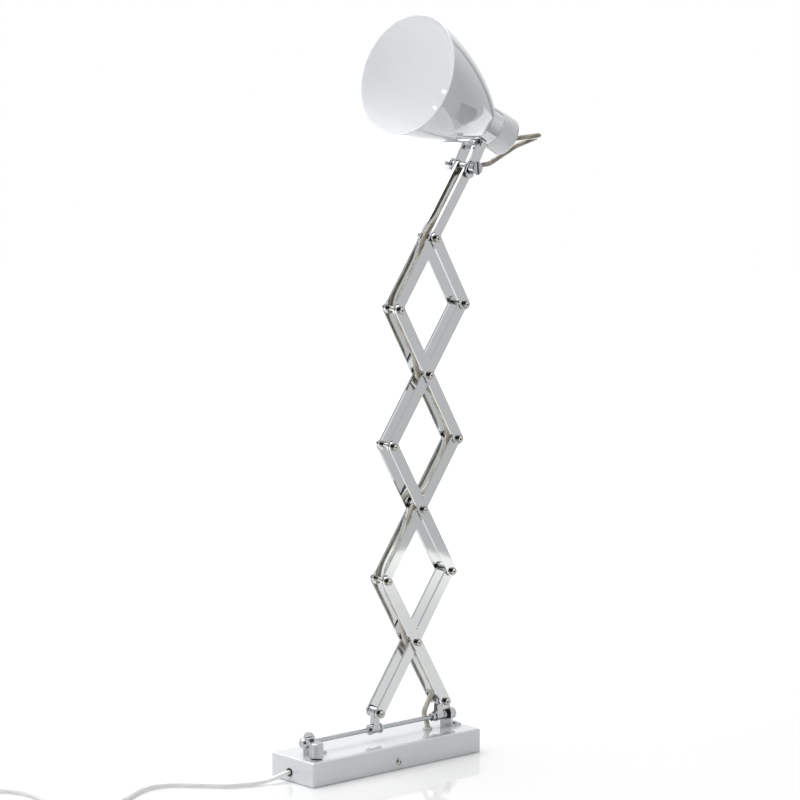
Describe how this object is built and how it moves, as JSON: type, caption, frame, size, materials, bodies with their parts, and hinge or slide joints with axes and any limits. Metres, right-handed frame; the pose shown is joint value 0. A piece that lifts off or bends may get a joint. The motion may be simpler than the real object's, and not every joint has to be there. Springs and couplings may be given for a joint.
{
  "type": "extendable wall lamp",
  "caption": "Wall lamp with a scissor arm of flat chrome bars that folds and swings on a guide rod, and a white bell-shaped shade that tilts on a yoke.",
  "frame": {"origin": "centre of the wall screw pattern, on the wall face of the base plate", "axes": "+Z away from the wall, +X along the guide rod towards the fixed pivot, -Y to the side the dimmer knob and dome nuts face"},
  "size_m": [0.6987, 0.3474, 0.8093],
  "materials": {
    "white_lacquer": "gloss white lacquer on steel sheet",
    "zinc_sheet": "zinc-plated steel sheet",
    "chrome_bar": "polished chrome on flat steel bar",
    "chrome_turned": "polished chrome on turned steel",
    "nickel_bolt": "nickel-plated bolts, dome nuts and spacers",
    "white_moulding": "white moulded plastic",
    "grey_cap": "pale grey moulded plastic",
    "porcelain_holder": "off-white lampholder moulding",
    "black_nylon": "black nylon",
    "clear_cable": "clear PVC over taupe-looking cores",
    "white_cord": "white PVC cord"
  },
  "bodies": {
    "base": {"wall_plate": "zinc_sheet", "wall_box": "white_lacquer", "cover_screws": "nickel_bolt", "terminal_block": "white_moulding", "dimmer_body": "black_nylon", "dimmer_nut": "nickel_bolt", "cord_bush": "white_moulding", "cable_grommet": "white_moulding", "left_bracket": "chrome_bar", "right_bracket": "chrome_bar", "bracket_screws": "nickel_bolt", "guide_rod": "chrome_turned", "rod_caps": "chrome_turned", "lock_nut": "chrome_turned", "stop_collar": "chrome_turned", "rod_washer": "black_nylon", "cable_riser": "clear_cable", "mains_cord": "white_cord", "cord_coil": "white_cord", "cord_tie": "black_nylon", "plug_body": "white_moulding", "plug_pins": "nickel_bolt"},
    "dimmer": {"dimmer_knob": "chrome_turned"},
    "swivel": {"swivel_barrel": "chrome_turned", "swivel_pins": "nickel_bolt", "cable_entry": "clear_cable"},
    "a1": {"limb_a1": "chrome_bar", "pins_a1": "nickel_bolt", "cable_run_a1": "clear_cable", "cable_bend_1": "clear_cable"},
    "b1": {"limb_b1": "chrome_bar"},
    "slider": {"slider_barrel": "chrome_turned", "slider_pins": "nickel_bolt"},
    "b2": {"limb_b2": "chrome_bar", "pins_b2": "nickel_bolt", "cable_run_b2": "clear_cable", "cable_bend_2": "clear_cable"},
    "a2": {"limb_a2": "chrome_bar", "pins_a2": "nickel_bolt"},
    "a3": {"limb_a3": "chrome_bar", "pins_a3": "nickel_bolt", "cable_run_a3": "clear_cable", "cable_bend_3": "clear_cable"},
    "b3": {"limb_b3": "chrome_bar"},
    "b4": {"limb_b4": "chrome_bar", "pins_b4": "nickel_bolt", "cable_run_b4": "clear_cable"},
    "a4": {"limb_a4": "chrome_bar", "pins_a4": "nickel_bolt"},
    "head": {"yoke": "chrome_bar", "yoke_screw": "nickel_bolt", "tilt_bolt": "nickel_bolt", "tilt_knobs": "chrome_turned", "neck_ring": "chrome_turned", "lamp_cap": "grey_cap", "shade": "white_lacquer", "lampholder": "porcelain_holder", "cable_loop": "clear_cable"}
  },
  "joints": [
    {"name": "swing", "type": "hinge", "parent": "base", "child": "swivel", "pos_m": [0.089, 0, 0.039], "axis": [1, 0, 0], "range_deg": [-63.6, 56.4], "deforming": ["cable_riser"]},
    {"name": "fold", "type": "hinge", "parent": "swivel", "child": "a1", "pos_m": [0.089, -0.00119, 0.05796], "axis": [0, 0.998, 0.0628], "range_deg": [-43.7, 14.3], "deforming": ["cable_entry"]},
    {"name": "cross_1", "type": "hinge", "parent": "a1", "child": "b1", "pos_m": [0.04224, -0.00584, 0.13178], "axis": [0, 0.998, 0.0628], "range_deg": [-28.62, 87.42]},
    {"name": "slider_pivot", "type": "hinge", "parent": "b1", "child": "slider", "pos_m": [-0.00451, -0.00119, 0.05796], "axis": [0, 0.998, 0.0628], "range_deg": [-43.72, 14.32]},
    {"name": "left_1", "type": "hinge", "parent": "a1", "child": "b2", "pos_m": [-0.00451, -0.01048, 0.20559], "axis": [0, 0.998, 0.0628], "range_deg": [-28.62, 87.42], "deforming": ["cable_bend_1"]},
    {"name": "cross_2", "type": "hinge", "parent": "b2", "child": "a2", "pos_m": [0.04224, -0.01512, 0.27941], "axis": [0, 0.998, 0.0628], "range_deg": [-87.42, 28.62]},
    {"name": "right_2", "type": "hinge", "parent": "b2", "child": "a3", "pos_m": [0.089, -0.01977, 0.35322], "axis": [0, 0.998, 0.0628], "range_deg": [-87.42, 28.62], "deforming": ["cable_bend_2"]},
    {"name": "cross_3", "type": "hinge", "parent": "a3", "child": "b3", "pos_m": [0.04224, -0.02441, 0.42703], "axis": [0, 0.998, 0.0628], "range_deg": [-28.62, 87.42]},
    {"name": "left_3", "type": "hinge", "parent": "a3", "child": "b4", "pos_m": [-0.00451, -0.02906, 0.50085], "axis": [0, 0.998, 0.0628], "range_deg": [-28.62, 87.42], "deforming": ["cable_bend_3"]},
    {"name": "cross_4", "type": "hinge", "parent": "b4", "child": "a4", "pos_m": [0.04224, -0.0337, 0.57466], "axis": [0, 0.998, 0.0628], "range_deg": [-87.42, 28.62]},
    {"name": "tilt", "type": "hinge", "parent": "b4", "child": "head", "pos_m": [0.089, -0.03834, 0.64848], "axis": [0, 0.998, 0.0628], "range_deg": [-60, 28], "deforming": ["cable_loop"]},
    {"name": "dim", "type": "hinge", "parent": "base", "child": "dimmer", "pos_m": [-0.104, -0.02, 0.026], "axis": [0, 0, 1], "range_deg": [0, 300]}
  ],
  "couplings": [
    {"joint": "cross_1", "follows": "fold", "ratio": -2},
    {"joint": "slider_pivot", "follows": "fold", "ratio": 1},
    {"joint": "left_1", "follows": "fold", "ratio": -2},
    {"joint": "cross_2", "follows": "fold", "ratio": 2},
    {"joint": "right_2", "follows": "fold", "ratio": 2},
    {"joint": "cross_3", "follows": "fold", "ratio": -2},
    {"joint": "left_3", "follows": "fold", "ratio": -2},
    {"joint": "cross_4", "follows": "fold", "ratio": 2}
  ]
}
